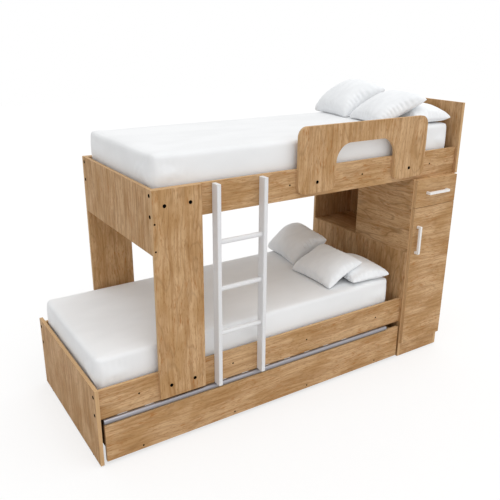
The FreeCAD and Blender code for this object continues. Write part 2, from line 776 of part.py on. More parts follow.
def build_drawer():
    """Drawer front, box, rails and handle."""
    nodes["drawer_front"] = block(front_left, door_face, drawer_front_bottom,
                                  tower_end, door_back, drawer_front_top)
    box_x0 = tower_start + board + runner_thickness
    box_x1 = tower_end - board - runner_thickness
    back_y = door_back + drawer_box_depth
    top = drawer_box_bottom + drawer_box_height
    left = block(box_x0, door_back, drawer_box_bottom, box_x0 + drawer_side_thickness, back_y, top)
    right = block(box_x1 - drawer_side_thickness, door_back, drawer_box_bottom, box_x1, back_y, top)
    nodes["drawer_sides"] = group([left, right])
    inner_x0 = box_x0 + drawer_side_thickness
    inner_x1 = box_x1 - drawer_side_thickness
    nodes["drawer_back"] = block(inner_x0, back_y - drawer_side_thickness, drawer_box_bottom,
                                 inner_x1, back_y, top)
    nodes["drawer_bottom"] = block(inner_x0, door_back, drawer_box_bottom + drawer_bottom_lift, inner_x1,
                                   back_y - drawer_side_thickness,
                                   drawer_box_bottom + drawer_bottom_lift + drawer_bottom_thickness)
    nodes["drawer_rails"] = group([drawer_rail(-1), drawer_rail(1)])
    handle = bar_handle("x")
    handle.translate(Vector(door_middle, door_face, (drawer_front_bottom + drawer_front_top) / 2))
    nodes["drawer_handle"] = handle


def build_trundle():
    """Pull-out bed on castors under the lower bed."""
    top = trundle_base_z + trundle_box_height
    screw_z = trundle_base_z - trundle_ledger_size / 2
    screws = [screw(Vector(x, panel_front, screw_z), Y_AXIS)
              for x in screw_row((trundle_x0 + trundle_x1) / 2)]
    nodes["trundle_front"] = drilled(block(trundle_x0, panel_front, trundle_front_bottom,
                                           trundle_x1, 0, trundle_front_top), screws)
    nodes["trundle_screws"] = group(screws)
    sides = []
    for x in (trundle_box_x0, trundle_box_x1 - board):
        sides.append(block(x, 0, trundle_base_z, x + board, trundle_box_depth, top))
    nodes["trundle_sides"] = group(sides)
    inner_x0 = trundle_box_x0 + board
    inner_x1 = trundle_box_x1 - board
    nodes["trundle_back"] = block(inner_x0, trundle_back_y, trundle_base_z - trundle_ledger_size,
                                  inner_x1, trundle_box_depth, top)
    ledgers = []
    for y in (0, trundle_back_y - trundle_ledger_size):
        ledgers.append(drilled(block(inner_x0, y, trundle_base_z - trundle_ledger_size,
                                     inner_x1, y + trundle_ledger_size, trundle_base_z), screws))
    nodes["trundle_ledgers"] = group(ledgers)
    nodes["trundle_slats"] = group(slats(inner_x0, inner_x1, 0, trundle_back_y, trundle_base_z,
                                         trundle_slat_width, trundle_slat_count))
    nodes["trundle_handle_profile"] = handle_profile(trundle_x0, trundle_x1 - profile_stop)
    castor_xs = (inner_x0 + first_slat_gap + trundle_slat_width / 2,
                 inner_x1 - first_slat_gap - trundle_slat_width / 2)
    castor_ys = (castor_front_offset, trundle_box_depth - castor_rear_offset)
    nodes["castor_forks"] = group([castor(x, y) for x in castor_xs for y in castor_ys])
    for x, side_name in zip(castor_xs, ("left", "right")):
        for y, end_name in zip(castor_ys, ("front", "rear")):
            nodes["castor_wheel_" + end_name + "_" + side_name] = wheel(x, y)


def export_all():
    """Move every node to the shared origin and write its file."""
    low_y = min(-stile_depth, door_face - handle_projection)
    high_y = panel_back + cap_proud
    shift = Vector(-(tower_end + board) / 2, -(low_y + high_y) / 2, 0)
    os.makedirs("parts", exist_ok=True)
    for name, shape in nodes.items():
        placed = shape.copy()
        placed.translate(shift)
        placed.exportStep("parts/" + name + ".step")
        solids = len(placed.Solids)
        print(name, "solids", solids, "volume", round(placed.Volume), "valid", placed.isValid())


def main():
    """Build every sub-assembly and export it."""
    bolts = rail_end_bolts() + leg_bolts() + guard_bolts() + ladder_bolts()
    screws = ledger_screws() + leg_edge_screws()
    build_lower_bed(bolts, screws)
    build_upper_bed(bolts, screws)
    build_slatted_bases(screws)
    build_ladder(bolts)
    build_tower(bolts)
    build_door()
    build_drawer()
    build_trundle()
    nodes["connector_bolts"] = group(bolts)
    nodes["frame_screws"] = group(screws)
    export_all()


main()
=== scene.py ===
"""Looks of a bunk bed with a storage tower and a trundle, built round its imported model.

All lengths are in metres. X runs along the beds towards the tower, Y into the depth and Z
up from the floor, with the origin on the floor under the middle of the whole bed.
"""
import logging
import math
from dataclasses import dataclass, field, replace
from enum import Enum

import bpy
import numpy as np
from mathutils import Matrix, Vector


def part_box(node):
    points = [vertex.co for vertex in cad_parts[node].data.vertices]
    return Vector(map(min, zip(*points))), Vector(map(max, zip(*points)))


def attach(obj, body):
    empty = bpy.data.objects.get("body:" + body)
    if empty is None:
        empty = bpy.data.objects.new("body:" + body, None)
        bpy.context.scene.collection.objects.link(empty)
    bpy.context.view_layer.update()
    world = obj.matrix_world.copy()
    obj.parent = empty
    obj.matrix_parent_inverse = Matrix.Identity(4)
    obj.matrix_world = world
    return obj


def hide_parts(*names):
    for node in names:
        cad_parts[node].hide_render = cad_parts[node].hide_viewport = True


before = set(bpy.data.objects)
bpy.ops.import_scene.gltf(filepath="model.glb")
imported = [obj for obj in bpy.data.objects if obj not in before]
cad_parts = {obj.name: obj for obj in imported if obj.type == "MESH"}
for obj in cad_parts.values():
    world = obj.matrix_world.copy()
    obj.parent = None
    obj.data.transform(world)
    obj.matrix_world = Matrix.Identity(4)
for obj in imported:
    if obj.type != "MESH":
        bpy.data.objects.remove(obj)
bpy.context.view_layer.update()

log = logging.getLogger("bunk_bed")
MILLIMETRE = 0.001
# Added to a length that divides, so that it is never nought.
TINY = 1e-9
# Range that a noise mostly keeps to, and the core of it.
NOISE_SPAN = (0.3, 0.7)
NOISE_CORE = (0.35, 0.65)
# Scale at which a wave texture repeats once in a unit.
WAVE_ONCE = 0.314


class Axis(Enum):
    """Direction in the bed's frame."""

    X = 0
    Y = 1
    Z = 2


class Wheel(Enum):
    """The four fixed castors of the trundle, by the name their wheel's node and body share."""

    FRONT_LEFT = "front_left"
    FRONT_RIGHT = "front_right"
    REAR_LEFT = "rear_left"
    REAR_RIGHT = "rear_right"


# ---------------------------------------------------------------- colour and nodes


def linear(hex_colour: str) -> tuple[float, float, float, float]:
    """Turn an sRGB hex colour to the linear values that shaders use.

    Args:
        hex_colour: Colour as #RRGGBB.

    Returns:
        Linear red, green and blue, and an alpha of 1.
    """
    channels = [int(hex_colour[i:i + 2], 16) / 255 for i in (1, 3, 5)]
    shades = [c / 12.92 if c <= 0.04045 else ((c + 0.055) / 1.055) ** 2.4 for c in channels]
    return shades[0], shades[1], shades[2], 1.0


def add_node(tree: bpy.types.NodeTree, kind: str, inputs: dict | tuple = (),
             **settings) -> bpy.types.Node:
    """Add one node with its settings, its constants and its links.

    Args:
        tree: Node tree that gets the node.
        kind: Blender's name of the node's type.
        inputs: What each socket gets, by its name or number or else one after another: a
            constant, the output that feeds it, or the node whose first output does.
        settings: Attributes of the node itself.

    Returns:
        The new node.
    """
    node = tree.nodes.new(kind)
    for name, value in settings.items():
        setattr(node, name, value)
    for key, value in inputs.items() if isinstance(inputs, dict) else enumerate(inputs):
        source = value.outputs[0] if isinstance(value, bpy.types.Node) else value
        if isinstance(source, bpy.types.NodeSocket):
            tree.links.new(source, node.inputs[key])
        else:
            node.inputs[key].default_value = source
    return node


def new_material(name: str) -> tuple[bpy.types.Material, bpy.types.NodeTree]:
    """Make an empty material.

    Args:
        name: Name of the finish.

    Returns:
        The material and its node tree.
    """
    material = bpy.data.materials.new(name)
    material.use_nodes = True
    material.node_tree.nodes.clear()
    return material, material.node_tree


def layered(tree: bpy.types.NodeTree, ground: bpy.types.NodeSocket | tuple,
            layers: tuple) -> bpy.types.NodeSocket:
    """Lay tones over a ground, one after another.

    Args:
        tree: Node tree of the material.
        ground: Colour, or the output that gives it.
        layers: For each tone where it lies, from 0 to 1, how far it covers there, and its
            colour or the output that gives it.

    Returns:
        The colour of the whole.
    """
    for amount, share, tone in layers:
        cover = add_node(tree, "ShaderNodeMath", (amount, share), operation="MULTIPLY")
        ground = add_node(tree, "ShaderNodeMix", {0: cover, 6: ground, 7: tone},
                          data_type="RGBA").outputs[2]
    return ground


@dataclass(frozen=True)
class Pattern:
    """Noise drawn out to cells of a real size, in metres, and the range of it that counts."""

    cell: tuple[float, float, float]
    octaves: float
    shift: float = 0.0
    low: float = NOISE_CORE[0]
    high: float = NOISE_CORE[1]
    octave_weight: float = 0.55

    def noise(self, tree: bpy.types.NodeTree,
              place: bpy.types.NodeSocket | bpy.types.Node) -> bpy.types.NodeSocket:
        """Draw the noise.

        Args:
            tree: Node tree of the material.
            place: Coordinates in metres.

        Returns:
            The noise from 0 to 1.
        """
        scaled = add_node(tree, "ShaderNodeMapping", {
            "Vector": place, "Location": (self.shift,) * 3,
            "Scale": tuple(1 / size for size in self.cell)})
        return add_node(tree, "ShaderNodeTexNoise", {
            "Vector": scaled, "Scale": 1.0, "Detail": self.octaves,
            "Roughness": self.octave_weight}).outputs["Fac"]

    def draw(self, tree: bpy.types.NodeTree, place: bpy.types.NodeSocket | bpy.types.Node
             ) -> tuple[bpy.types.NodeSocket, bpy.types.Node]:
        """Draw the noise and stretch the range of it that counts.

        Args:
            tree: Node tree of the material.
            place: Coordinates in metres.

        Returns:
            The plain noise, and the one that goes from 0 at the low value to 1 at the high.
        """
        noise = self.noise(tree, place)
        return noise, add_node(tree, "ShaderNodeMapRange", (noise, self.low, self.high),
                               interpolation_type="SMOOTHSTEP")


# ---------------------------------------------------------------- finishes


@dataclass(frozen=True)
class OakMelamine:
    """Oak-print melamine board, pressed with fine pores, with thin plastic bands on its edges.

    The print gives honey-brown boards with soft cloudy streaks, fine straight grain, faint
    growth rings in arches, short orange-brown flecks and dark pores. The bands on the edges
    are plainer and paler. The pores are really 0.3 mm wide, too fine to show, so they are
    drawn about 5 mm wide. Each pattern's cell is given along the grain, across it and into
    the board, and each share says how far its tone covers what lies under it. The figure is
    the share of the growth rings.
    """

    grain: Axis
    face: Axis
    cut: float
    figure: float
    light: str = "#D2AE85"
    middle: str = "#BB9467"
    brown: str = "#996D3F"
    orange: str = "#A9713D"
    dark: str = "#63431F"
    band: str = "#CDA97E"
    slice_step: tuple[float, float, float] = (1.73, 0.61, 0.37)
    sway: Pattern = Pattern((0.50, 0.15, 0.15), 1.0, 31.0)
    sway_reach: float = 0.055
    cloud: Pattern = Pattern((0.22, 0.10, 0.10), 3.0, 0.0, 0.36, 0.66)
    streak: Pattern = Pattern((0.46, 0.020, 0.020), 5.0, 4.0, 0.46, 0.62)
    streak_share: float = 0.38
    growth: Pattern = Pattern((0.60, 0.14, 0.14), 2.0, 27.0)
    ring_count: float = 19.0
    ring_start: float = 0.66
    line: Pattern = Pattern((0.20, 0.0062, 0.0062), 4.0, 9.0, 0.42, 0.66)
    line_share: float = 0.32
    band_line_share: float = 0.22
    fleck: Pattern = Pattern((0.050, 0.0090, 0.0090), 3.0, 13.0, 0.52, 0.72)
    fleck_field: Pattern = Pattern((0.22, 0.10, 0.10), 2.0, 19.0, 0.40, 0.60)
    fleck_share: float = 0.85
    pore: Pattern = Pattern((0.026, 0.0047, 0.0047), 2.0, 15.0, 0.54, 0.70)
    pore_share: float = 0.58
    pore_depth: float = 0.3 * MILLIMETRE
    pore_relief: float = 0.3
    knot: Pattern = Pattern((0.050, 0.026, 0.026), 1.0, 23.0, 0.80, 0.90)
    knot_share: float = 0.60
    face_limit: float = 0.6
    roughness: tuple[float, float] = (0.44, 0.60)
    specular: float = 0.08

    def print_place(self, tree: bpy.types.NodeTree,
                    place: bpy.types.NodeSocket) -> bpy.types.Node:
        """Turn a point of the board to its place in the print.

        The place is taken along the grain, across it and into the board, moved by the
        board's own slice, and shifted across by slow noise, so that what is drawn out along
        the grain sways a little.

        Args:
            tree: Node tree of the material.
            place: Object coordinates.

        Returns:
            The node that gives the place in the print, in metres.
        """
        parts = add_node(tree, "ShaderNodeSeparateXYZ", (place,))
        across = ({0, 1, 2} - {self.grain.value, self.face.value}).pop()
        turned = add_node(tree, "ShaderNodeCombineXYZ", (
            parts.outputs[self.grain.value], parts.outputs[across],
            parts.outputs[self.face.value]))
        straight = add_node(tree, "ShaderNodeVectorMath", (
            turned, tuple(self.cut * step for step in self.slice_step)), operation="ADD")
        swing = add_node(tree, "ShaderNodeMath", (
            self.sway.noise(tree, straight), self.sway_reach), operation="MULTIPLY")
        sideways = add_node(tree, "ShaderNodeCombineXYZ", {1: swing})
        return add_node(tree, "ShaderNodeVectorMath", (straight, sideways), operation="ADD")

    def rings(self, tree: bpy.types.NodeTree, place: bpy.types.Node) -> bpy.types.Node:
        """Growth rings: a slow noise folded to and fro, so that its level lines are arches.

        Args:
            tree: Node tree of the material.
            place: Place in the print.

        Returns:
            The node that gives 1 on a ring and 0 between rings.
        """
        growth = add_node(tree, "ShaderNodeMath", (
            self.growth.noise(tree, place), self.ring_count), operation="MULTIPLY")
        folded = add_node(tree, "ShaderNodeMath", (growth, 1.0), operation="PINGPONG")
        return add_node(tree, "ShaderNodeMapRange", (folded, self.ring_start, 1.0),
                        interpolation_type="SMOOTHSTEP")

    def material(self, name: str) -> bpy.types.Material:
        """Make the finish for one board.

        The tones are laid one over another for the faces. Where the normal doesn't point
        along the face's axis, the edge band shows instead.

        Args:
            name: Name of the board.

        Returns:
            The material.
        """
        material, tree = new_material("oak_melamine_" + name)
        coordinates = add_node(tree, "ShaderNodeTexCoord")
        place = self.print_place(tree, coordinates.outputs["Object"])
        line, lines = self.line.draw(tree, place)
        pore, pores = self.pore.draw(tree, place)
        flecks = add_node(tree, "ShaderNodeMath", (
            self.fleck.draw(tree, place)[1], self.fleck_field.draw(tree, place)[1]),
            operation="MULTIPLY")
        face = layered(tree, linear(self.light), (
            (self.cloud.draw(tree, place)[1], 1.0, linear(self.middle)),
            (self.streak.draw(tree, place)[1], self.streak_share, linear(self.brown)),
            (self.rings(tree, place), self.figure, linear(self.dark)),
            (lines, self.line_share, linear(self.brown)),
            (flecks, self.fleck_share, linear(self.orange)),
            (pores, self.pore_share, linear(self.brown)),
            (self.knot.draw(tree, place)[1], self.knot_share, linear(self.dark)),
        ))
        normal = add_node(tree, "ShaderNodeSeparateXYZ", (coordinates.outputs["Normal"],))
        facing = add_node(tree, "ShaderNodeMath", (normal.outputs[self.face.value],),
                          operation="ABSOLUTE")
        on_face = add_node(tree, "ShaderNodeMath", (facing, self.face_limit),
                           operation="GREATER_THAN")
        shader = add_node(tree, "ShaderNodeBsdfPrincipled", {
            "Base Color": layered(tree, linear(self.band), (
                (lines, self.band_line_share, linear(self.brown)), (on_face, 1.0, face))),
            "Roughness": add_node(tree, "ShaderNodeMapRange", (
                line, *NOISE_SPAN, *self.roughness), interpolation_type="SMOOTHSTEP"),
            "Normal": add_node(tree, "ShaderNodeBump", {
                "Height": pore, "Distance": self.pore_depth, "Strength": self.pore_relief}),
            "Specular IOR Level": self.specular})
        add_node(tree, "ShaderNodeOutputMaterial", (shader,))
        return material


@dataclass(frozen=True)
class StreakedSolid:
    """Solid or coated stock with streaks or clouds of a second tone and a fine relief."""

    name: str
    base: str
    second: str
    cell: tuple[float, float, float]
    share: float
    roughness: float
    metallic: float = 0.0
    octaves: float = 4.0
    roughness_swing: float = 0.05
    relief: float = 0.1 * MILLIMETRE
    relief_strength: float = 0.2
    specular: float = 0.5

    def material(self) -> bpy.types.Material:
        """Make the finish.

        Returns:
            The material.
        """
        material, tree = new_material(self.name)
        place = add_node(tree, "ShaderNodeTexCoord").outputs["Object"]
        cloud, clouds = Pattern(self.cell, self.octaves).draw(tree, place)
        shader = add_node(tree, "ShaderNodeBsdfPrincipled", {
            "Base Color": layered(tree, linear(self.base), (
                (clouds, self.share, linear(self.second)),)),
            "Roughness": add_node(tree, "ShaderNodeMapRange", (
                cloud, *NOISE_SPAN, self.roughness - self.roughness_swing,
                self.roughness + self.roughness_swing), interpolation_type="SMOOTHSTEP"),
            "Normal": add_node(tree, "ShaderNodeBump", {
                "Height": cloud, "Distance": self.relief, "Strength": self.relief_strength}),
            "Metallic": self.metallic, "Specular IOR Level": self.specular})
        add_node(tree, "ShaderNodeOutputMaterial", (shader,))
        return material


# Planed pine: straight pale grain with amber lines, for slats and ledgers.
PINE = StreakedSolid("planed_pine", "#E3C594", "#C2935A", (0.30, 0.012, 0.012), 0.75, 0.55)
PINE_SLATS = replace(PINE, name="planed_pine_slats", cell=(0.012, 0.30, 0.012))
# Hardboard: matt brown, pressed fibres.
HARDBOARD = StreakedSolid("pressed_hardboard", "#9A7650", "#6F5234", (0.006,) * 3, 0.6, 0.75)
# Powder-coated steel: bright white with a faint orange peel, for the ladder.
POWDER_COAT = StreakedSolid("white_powder_coat", "#E8E8E9", "#DBDBDD", (0.004,) * 3, 0.5, 0.34,
                            relief=0.2 * MILLIMETRE, relief_strength=0.25)
# Moulded polyethylene plugs: white, a little duller than the coated tubes.
WHITE_PLUG = StreakedSolid("white_moulded_plastic", "#E6E6E6", "#D8D8D8", (0.003,) * 3, 0.5, 0.48)
# Satin-lacquered zinc bars: bright warm white, for the two handles.
HANDLE_LACQUER = StreakedSolid("satin_white_lacquer", "#F6F4F1", "#E9E6E2", (0.006,) * 3, 0.5, 0.28)
# Zinc-plated steel: grey metal with soft cloudy plating, for runners and hinges.
ZINC_PLATE = StreakedSolid("zinc_plated_steel", "#B9BDC2", "#94989D", (0.014,) * 3, 0.6, 0.36, 1.0)
# The same plating on the pressed forks of the castors.
CASTOR_PLATE = replace(ZINC_PLATE, name="zinc_plated_castor_steel")
# Moulded black polyamide: matt, for glides.
BLACK_MOULDED = StreakedSolid("black_moulded_plastic", "#1B1A19", "#2A2826", (0.004,) * 3,
                              0.5, 0.55)
# Black plastic cap on a connector bolt: near black and dead matt.
BOLT_CAP = StreakedSolid("black_bolt_cap", "#070504", "#0D0A08", (0.003,) * 3, 0.5, 0.70,
                         specular=0.0)
# Browned steel wood screw: nearly black, with no shine left.
SCREW_HEAD = StreakedSolid("browned_screw_steel", "#1C120B", "#0E0906", (0.002,) * 3, 0.6, 0.60,
                           specular=0.0)
# Satin anodised aluminium: fine lines along the rolled profile.
ANODISED = StreakedSolid("anodised_aluminium", "#A8A7AC", "#8E8D93", (0.40, 0.004, 0.004),
                         0.7, 0.46, 1.0)
# Grey thermoplastic rubber: matt tread with faint scuffs.
WHEEL_RUBBER = StreakedSolid("grey_wheel_rubber", "#7B7E80", "#5D6062", (0.007,) * 3, 0.6, 0.62)


@dataclass(frozen=True)
class WovenCotton:
    """Brushed cotton percale: white, matt, fine plain weave, soft creases with painted shade.

    The real threads lie 0.3 mm apart, too fine to show, so the weave is drawn 1.6 mm apart.
    """

    name: str
    colour: str
    # Darker tone laid over the colour along the creases: painted shade in the folds.
    crease_shade: str
    crease: Pattern
    crease_depth: float
    crease_strength: float
    thread: float = 1.6 * MILLIMETRE
    thread_strength: float = 0.05
    roughness: tuple[float, float] = (0.92, 0.84)
    sheen: float = 0.15
    specular: float = 0.25

    def material(self) -> bpy.types.Material:
        """Make the finish: crossed thread bands over slow creases with painted shade.

        Returns:
            The material.
        """
        material, tree = new_material(self.name)
        place = add_node(tree, "ShaderNodeTexCoord").outputs["Object"]
        crease, crease_shade_mask = self.crease.draw(tree, place)
        scaled = add_node(tree, "ShaderNodeMapping", {
            "Vector": place, "Scale": (1 / self.thread,) * 3})
        weave = add_node(tree, "ShaderNodeMath", tuple(
            add_node(tree, "ShaderNodeTexWave", {"Vector": scaled, "Scale": WAVE_ONCE},
                     bands_direction=way).outputs["Fac"] for way in ("X", "Y")),
            operation="MULTIPLY")
        folds = add_node(tree, "ShaderNodeBump", {
            "Height": crease, "Distance": self.crease_depth, "Strength": self.crease_strength})
        shader = add_node(tree, "ShaderNodeBsdfPrincipled", {
            # Along the creases the colour darkens towards the crease shade: painted shade.
            "Base Color": layered(tree, linear(self.colour), (
                (crease_shade_mask, 1.0, linear(self.crease_shade)),)),
            "Roughness": add_node(tree, "ShaderNodeMapRange", (
                weave, 0.0, 1.0, *self.roughness), interpolation_type="SMOOTHSTEP"),
            "Normal": add_node(tree, "ShaderNodeBump", {
                "Height": weave, "Distance": self.thread, "Strength": self.thread_strength,
                "Normal": folds}),
            "Sheen Weight": self.sheen, "Specular IOR Level": self.specular})
        add_node(tree, "ShaderNodeOutputMaterial", (shader,))
        return material


# Tight mattress cover: wide soft creases, with only faint painted shade along them.
SHEET = WovenCotton("percale_fitted_sheet", "#F1F2F3", "#EDEEEF",
                    Pattern((0.30, 0.16, 0.20), 2.0), 2.0 * MILLIMETRE, 0.10)
# Pillow case: whiter, with closer and deeper creases and faint painted shade along them.
CASE = WovenCotton("percale_pillow_case", "#F7F9FB", "#F3F5F7",
                   Pattern((0.075, 0.035, 0.05), 2.0), 4.0 * MILLIMETRE, 0.22)


# ---------------------------------------------------------------- meshes


def grid_quads(ids: np.ndarray) -> np.ndarray:
    """Quads of a grid of numbered points.

    Args:
        ids: Point numbers, with a row for each step of the first parameter.

    Returns:
        Point numbers, four to a quad, turned so that first x second points out.
    """
    corners = (ids[:-1, :-1], ids[1:, :-1], ids[1:, 1:], ids[:-1, 1:])
    return np.stack(corners, axis=-1).reshape(-1, 4)


def new_piece(name: str, points: np.ndarray, quads: np.ndarray,
              material: bpy.types.Material) -> bpy.types.Object:
    """Put a surface into a mesh object at the origin.

    Args:
        name: Name of the piece.
        points: Vertices, three numbers each, in metres.
        quads: Vertex numbers, four to a face.
        material: Finish of the piece.

    Returns:
        The new object, smooth shaded.
    """
    mesh = bpy.data.meshes.new(name)
    mesh.from_pydata(points.tolist(), [], quads.tolist())
    mesh.polygons.foreach_set("use_smooth", np.ones(len(quads), dtype=bool))
    mesh.materials.append(material)
    mesh.update()
    piece = bpy.data.objects.new(name, mesh)
    bpy.context.scene.collection.objects.link(piece)
    return piece


def points_of(mesh: bpy.types.Mesh) -> np.ndarray:
    """The vertices of a mesh as rows of x, y and z."""
    flat = np.empty(len(mesh.vertices) * 3)
    mesh.vertices.foreach_get("co", flat)
    return flat.reshape(-1, 3)


def box_lattice(counts: tuple[int, int, int]) -> tuple[np.ndarray, np.ndarray]:
    """Closed lattice of quads over the surface of a cube from -1 to 1.

    Args:
        counts: Cells along x, y and z.

    Returns:
        The points, and the quads turned outwards.
    """
    steps = np.stack(np.meshgrid(*(np.arange(n + 1) for n in counts), indexing="ij"), axis=-1)
    on_surface = ((steps == 0) | (steps == np.array(counts))).any(axis=-1)
    ids = np.full(on_surface.shape, -1)
    ids[on_surface] = np.arange(on_surface.sum())
    quads = []
    for axis in Axis:
        for end in (0, counts[axis.value]):
            side = grid_quads(np.take(ids, end, axis=axis.value))
            outward = (end > 0) != (axis is Axis.Y)
            quads.append(side if outward else side[:, ::-1])
    return steps[on_surface] / np.array(counts) * 2 - 1, np.concatenate(quads)


@dataclass(frozen=True)
class Stuffing:
    """How a cover fills out under the pressure of what is in it.

    The slack is the share by which the cloth may grow, and no point moves by more than the
    reach.
    """

    pressure: float
    slack: float
    reach: float
    steps: int
    stiffness: float = 12.0
    bending: float = 0.4
    mass: float = 0.3
    quality: int = 4

    def fill_out(self, piece: bpy.types.Object, hold: np.ndarray | None = None) -> None:
        """Round a closed cover out with cloth pressure and keep the result in its mesh.

        Each point moves by reach x tanh(distance / reach) towards where the cloth ends, so
        that none moves further than the reach. Points with a hold of 1 stay where they are.

        Args:
            piece: Closed cover at the origin.
            hold: Share from 0 to 1 by which each point is kept back.
        """
        rest = points_of(piece.data)
        cloth = piece.modifiers.new("stuffing", "CLOTH")
        cloth.settings.quality = self.quality
        cloth.settings.mass = self.mass
        cloth.settings.tension_stiffness = self.stiffness
        cloth.settings.compression_stiffness = self.stiffness
        cloth.settings.shear_stiffness = self.stiffness / 2
        cloth.settings.bending_stiffness = self.bending
        cloth.settings.shrink_min = -self.slack
        cloth.settings.use_pressure = True
        cloth.settings.uniform_pressure_force = self.pressure
        cloth.settings.effector_weights.gravity = 0
        cloth.point_cache.frame_start = 1
        cloth.point_cache.frame_end = self.steps
        for step in range(1, self.steps + 1):
            bpy.context.scene.frame_set(step)
        shape = piece.evaluated_get(bpy.context.evaluated_depsgraph_get()).to_mesh()
        moved = points_of(shape) - rest
        piece.modifiers.remove(cloth)
        bpy.context.scene.frame_set(1)
        distance = np.linalg.norm(moved, axis=1, keepdims=True) + TINY
        moved *= self.reach * np.tanh(distance / self.reach) / distance
        if hold is not None:
            moved *= 1 - hold[:, None]
        piece.data.vertices.foreach_set("co", (rest + moved).ravel())
        piece.data.update()


def smooth_once(piece: bpy.types.Object) -> None:
    """Add one subdivision, the same in the view and in the render."""
    level = piece.modifiers.new("rounding", "SUBSURF")
    level.levels = level.render_levels = 1


# ---------------------------------------------------------------- bedding


@dataclass
class Mattress:
    """Foam mattress in a fitted sheet: a box with round rims and sides that swell a little."""

    node: str
    low: tuple[float, float, float]
    high: tuple[float, float, float]
    phase: float
    corner_radius: float = 0.032
    rim_radius: float = 0.015
    cell: float = 0.0135
    side_swell: float = 0.003
    welt_height: float = 0.0016
    crease_depth: float = 0.0030
    crease_spacing: float = 0.031
    crease_reach: float = 0.13
    dip_depth: float = 0.0012
    dip_pace: tuple[float, float] = (7.1, 9.3)
    dip_level: float = 0.5
    shrink: float = 0.003
    least_cells: int = 6
    welt_power: int = 6
    stuffing: Stuffing = Stuffing(4.0, 0.012, 0.004, 12)
    spare_low: tuple[float, float, float] = (0.004, 0.004, 0.0)
    spare_high: tuple[float, float, float] = (0.006, 0.004, 0.0)

    def surface(self) -> tuple[np.ndarray, np.ndarray]:
        """Work out the cover.

        Each lattice point is clamped to an inner box, and what is left over is turned from a
        cube's reach to a sphere's, so that every rim is a quarter ellipse. The sides swell by
        1 - z^2, and near each upright corner short creases run down: a cosine of the distance
        from the corner under a bell curve, fading by 1 - z^4. A low welt stands on the middle
        of each rim, and the top dips a little by a product of two slow sines.

        Returns:
            Points and quads.
        """
        low, high = np.array(self.low) + self.shrink, np.array(self.high) - self.shrink
        half, middle = (high - low) / 2, (high + low) / 2
        counts = tuple(int(max(round(2 * h / self.cell), self.least_cells)) for h in half)
        unit, quads = box_lattice(counts)
        radius = np.array([self.corner_radius, self.corner_radius, self.rim_radius])
        inner = half - radius
        points = unit * half
        core = np.clip(points, -inner, inner)
        over = (points - core) / radius
        largest = np.abs(over).max(axis=1, keepdims=True)
        length = np.linalg.norm(over, axis=1, keepdims=True) + TINY
        sideways = np.abs(over[:, :2]).max(axis=1)
        rim = np.sqrt(np.clip(sideways * np.abs(over[:, 2]), 0, 1)) ** self.welt_power
        points = core + over * (largest / length) * (radius + self.welt_height * rim[:, None])

        side = np.clip(sideways, 0, 1)
        outward = over[:, :2] / (np.linalg.norm(over[:, :2], axis=1, keepdims=True) + TINY)
        level = points[:, 2] / half[2]
        from_corner = np.max(half[:2] - np.abs(points[:, :2]), axis=1)
        crease = 0.5 - 0.5 * np.cos(2 * np.pi * from_corner / self.crease_spacing + self.phase)
        crease *= np.exp(-(from_corner / self.crease_reach) ** 2) * (1 - level ** 4)
        push = self.side_swell * (1 - level ** 2) - self.crease_depth * crease
        points[:, :2] += outward * (side * push)[:, None]
        dips = np.sin(points[:, 0] * self.dip_pace[0] + self.phase)
        dips *= np.sin(points[:, 1] * self.dip_pace[1] + 2 * self.phase)
        on_top = (level > self.dip_level) * (1 - side ** 2)
        points[:, 2] -= self.dip_depth * (1 + dips) * on_top
        return points + middle, quads

    def build(self, material: bpy.types.Material) -> bpy.types.Object:
        """Make the mattress in place of its plain solid, kept near the solid's box.

        Args:
            material: Finish of the sheet.

        Returns:
            The piece.
        """
        piece = new_piece(self.node + "_cover", *self.surface(), material)
        self.stuffing.fill_out(piece)
        points = np.clip(points_of(piece.data), np.array(self.low) - self.spare_low,
                         np.array(self.high) + self.spare_high)
        piece.data.vertices.foreach_set("co", points.ravel())
        smooth_once(piece)
        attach(piece, "frame")
        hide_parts(self.node)
        return piece


